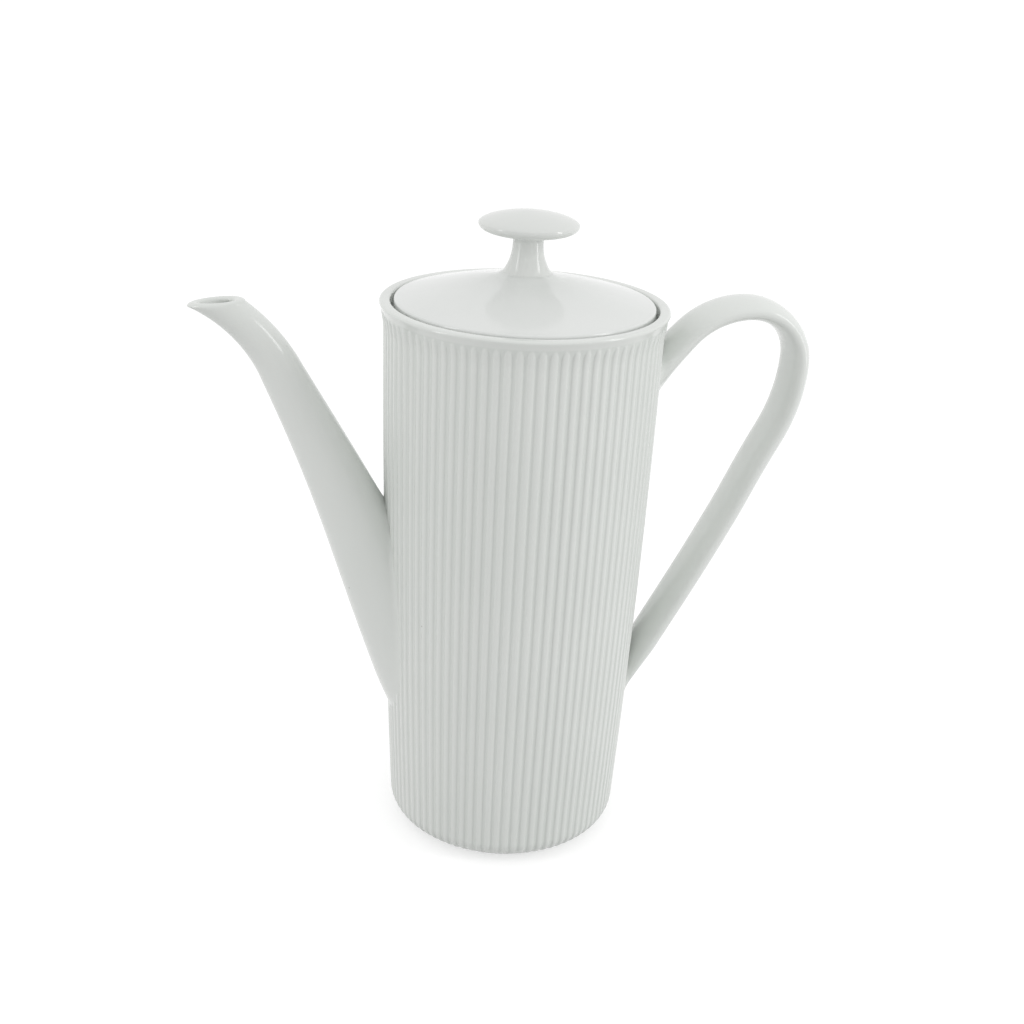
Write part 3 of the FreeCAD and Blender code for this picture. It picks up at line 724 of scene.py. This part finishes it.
def glaze_and_shade_group():
    """Uneven glaze with painted shade: slow drifts of tone, a darker tint painted as shade in grooves, rare
    specks, and a ripple.

    Drift and the painted groove shade add up to the share of the darker glaze. A speck is the middle of a
    cell, by chance.
    """
    group = bpy.data.node_groups.new("glaze_and_groove_shade", "ShaderNodeTree")
    sockets = (
        ("Glaze", "INPUT", "NodeSocketColor"),
        ("Drift And Shade Glaze", "INPUT", "NodeSocketColor"),
        ("Groove Shade", "INPUT", "NodeSocketFloat"),
        ("Speck", "INPUT", "NodeSocketColor"),
        ("Color", "OUTPUT", "NodeSocketColor"),
        ("Roughness", "OUTPUT", "NodeSocketFloat"),
        ("Height", "OUTPUT", "NodeSocketFloat"),
    )
    for name, direction, kind in sockets:
        group.interface.new_socket(name=name, in_out=direction, socket_type=kind)
    given = group.nodes.new("NodeGroupInput").outputs
    result = group.nodes.new("NodeGroupOutput").inputs
    place = group.nodes.new("ShaderNodeTexCoord").outputs["Object"]

    drift = ranged(group, noise(group, place, *DRIFT_PATTERN), DRIFT_NOISE, (0.0, DRIFT_SHARE))
    groove_shade = ranged(group, given["Groove Shade"], (0.0, 1.0), (0.0, GROOVE_SHADE_SHARE))
    tone = mixed(group, combined(group, "ADD", drift, groove_shade), given["Glaze"], given["Drift And Shade Glaze"])
    cells = group.nodes.new("ShaderNodeTexVoronoi")
    cells.inputs["Scale"].default_value = SPECK_SCALE
    group.links.new(place, cells.inputs["Vector"])
    dot = ranged(group, cells.outputs["Distance"], SPECK_EDGE, (1.0, 0.0))
    chance = group.nodes.new("ShaderNodeSeparateColor")
    group.links.new(cells.outputs["Color"], chance.inputs["Color"])
    rare = ranged(group, chance.outputs["Red"], SPECK_CHANCE, (0.0, SPECK_STRENGTH))
    specks = combined(group, "MULTIPLY", dot, rare)
    gloss = ranged(group, noise(group, place, *GLOSS_PATTERN), GLOSS_NOISE, GLOSS_ROUGHNESS)
    group.links.new(mixed(group, specks, tone, given["Speck"]), result["Color"])
    group.links.new(gloss, result["Roughness"])
    group.links.new(noise(group, place, *RIPPLE_PATTERN), result["Height"])
    return group


def porcelain(name, glaze, group):
    """White porcelain under a clear glossy glaze, with painted shade in the grooves read from each point."""
    material = bpy.data.materials.new(name)
    material.use_nodes = True
    nodes, links = material.node_tree.nodes, material.node_tree.links
    shader = nodes["Principled BSDF"]
    glaze_and_shade = nodes.new("ShaderNodeGroup")
    glaze_and_shade.node_tree = group
    glaze_and_shade.inputs["Glaze"].default_value = (*glaze, 1)
    glaze_and_shade.inputs["Drift And Shade Glaze"].default_value = (*(np.array(glaze) * DRIFT_AND_SHADE_TINT), 1)
    glaze_and_shade.inputs["Speck"].default_value = (*SPECK, 1)
    groove_shade = nodes.new("ShaderNodeAttribute")
    groove_shade.attribute_name = "groove_shade"
    links.new(groove_shade.outputs["Fac"], glaze_and_shade.inputs["Groove Shade"])
    bump = nodes.new("ShaderNodeBump")
    bump.inputs["Strength"].default_value = RIPPLE_STRENGTH
    bump.inputs["Distance"].default_value = RIPPLE_DEPTH
    links.new(glaze_and_shade.outputs["Height"], bump.inputs["Height"])
    links.new(glaze_and_shade.outputs["Color"], shader.inputs["Base Color"])
    links.new(glaze_and_shade.outputs["Roughness"], shader.inputs["Roughness"])
    links.new(bump.outputs["Normal"], shader.inputs["Normal"])
    shader.inputs["IOR"].default_value = GLAZE_IOR
    return material


def add_pieces():
    """Put each finished piece in place of its solid, on that solid's body and finish."""
    group = glaze_and_shade_group()
    # The lid and handle take lighter copies of the glaze: painted light that makes up for the shade falling
    # on them
    rows = (
        (pierced(reeded_body()), "pot_body", "pot", "porcelain_body", GLAZE),
        (spout_tube(), "spout", "pot", "porcelain_spout", GLAZE),
        (strap_handle(), "handle", "pot", "porcelain_handle", LIT_HANDLE_GLAZE),
        (lid_dome(), "lid", "lid", "porcelain_lid", LIT_LID_GLAZE),
        (mushroom_knob(), "lid_knob", "lid", "porcelain_knob", KNOB_GLAZE),
    )
    for piece, node, body, slot, glaze in rows:
        piece.data.materials.append(porcelain(slot, glaze, group))
        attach(piece, body)
        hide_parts(node)


def add_camera():
    """The camera: forward by yaw and pitch, rolled about forward, and all turned by the pot's own turn."""
    level = math.cos(CAMERA_PITCH)
    forward = Vector((math.sin(CAMERA_YAW) * level, math.cos(CAMERA_YAW) * level, -math.sin(CAMERA_PITCH)))
    right = forward.cross(Vector((0, 0, 1))).normalized()
    up = right.cross(forward)
    rolled_right = math.cos(CAMERA_ROLL) * right + math.sin(CAMERA_ROLL) * up
    rolled_up = -math.sin(CAMERA_ROLL) * right + math.cos(CAMERA_ROLL) * up
    axes = Matrix((rolled_right, rolled_up, -forward)).transposed().to_4x4()
    lens = bpy.data.cameras.new("photo_camera")
    lens.sensor_width = CAMERA_SENSOR
    lens.lens = CAMERA_LENS
    camera = bpy.data.objects.new("photo_camera", lens)
    place = Matrix.Translation((0, -CAMERA_DISTANCE, CAMERA_HEIGHT)) @ axes
    camera.matrix_world = Matrix.Rotation(-SPOUT_TURN, 4, "Z") @ place
    bpy.context.scene.collection.objects.link(camera)
    bpy.context.scene.camera = camera


def seen_directly(tree):
    """One where a ray comes from the camera, also by a mirror-like or clear surface, and zero elsewhere."""
    path = tree.nodes.new("ShaderNodeLightPath").outputs
    seen = combined(tree, "MAXIMUM", path["Is Camera Ray"], path["Is Glossy Ray"])
    return combined(tree, "MAXIMUM", seen, path["Is Transmission Ray"])


def add_surround():
    """An even white surround that lights the pot a little less than it shows."""
    world = bpy.data.worlds.new("white_surround")
    world.use_nodes = True
    bpy.context.scene.world = world
    tree = world.node_tree
    background = tree.nodes["Background"]
    background.inputs["Color"].default_value = (1, 1, 1, 1)
    level = ranged(tree, seen_directly(tree), (0.0, 1.0), (WORLD_LEVEL, 1.0))
    tree.links.new(level, background.inputs["Strength"])


def add_floor():
    """A wide pale floor that keeps the pot's shadow, and shows white to the camera."""
    material = bpy.data.materials.new("white_floor")
    material.use_nodes = True
    tree = material.node_tree
    shader = tree.nodes["Principled BSDF"]
    shader.inputs["Base Color"].default_value = (FLOOR_TONE, FLOOR_TONE, FLOOR_TONE, 1)
    shader.inputs["Roughness"].default_value = FLOOR_ROUGHNESS
    shader.inputs["Specular IOR Level"].default_value = FLOOR_SPECULAR
    shader.inputs["Emission Color"].default_value = (1, 1, 1, 1)
    glow = ranged(tree, seen_directly(tree), (0.0, 1.0), (0.0, FLOOR_GLOW))
    tree.links.new(glow, shader.inputs["Emission Strength"])
    far = FLOOR_REACH
    mesh = bpy.data.meshes.new("floor")
    mesh.from_pydata([(-far, -far, 0), (far, -far, 0), (far, far, 0), (-far, far, 0)], [], [(0, 1, 2, 3)])
    floor = bpy.data.objects.new("floor", mesh)
    floor.data.materials.append(material)
    bpy.context.scene.collection.objects.link(floor)


def add_lamp(name, azimuth, elevation, distance, width, height, power):
    """A rectangular lamp aimed at the pot's middle, its azimuth counted from the camera to the right."""
    turn = -math.pi / 2 - SPOUT_TURN + math.radians(azimuth)
    lift = math.radians(elevation)
    way = Vector((math.cos(turn) * math.cos(lift), math.sin(turn) * math.cos(lift), math.sin(lift)))
    lamp = bpy.data.lights.new(name, "AREA")
    lamp.shape = "RECTANGLE"
    lamp.size = width
    lamp.size_y = height
    lamp.energy = power
    item = bpy.data.objects.new(name, lamp)
    facing = way.to_track_quat("Z", "Y").to_matrix().to_4x4()
    item.matrix_world = Matrix.Translation(LAMP_AIM + way * distance) @ facing
    bpy.context.scene.collection.objects.link(item)


add_pieces()
add_camera()
add_surround()
add_floor()
for lamp_row in LAMPS:
    add_lamp(*lamp_row)
bpy.context.scene.view_settings.view_transform = "Standard"
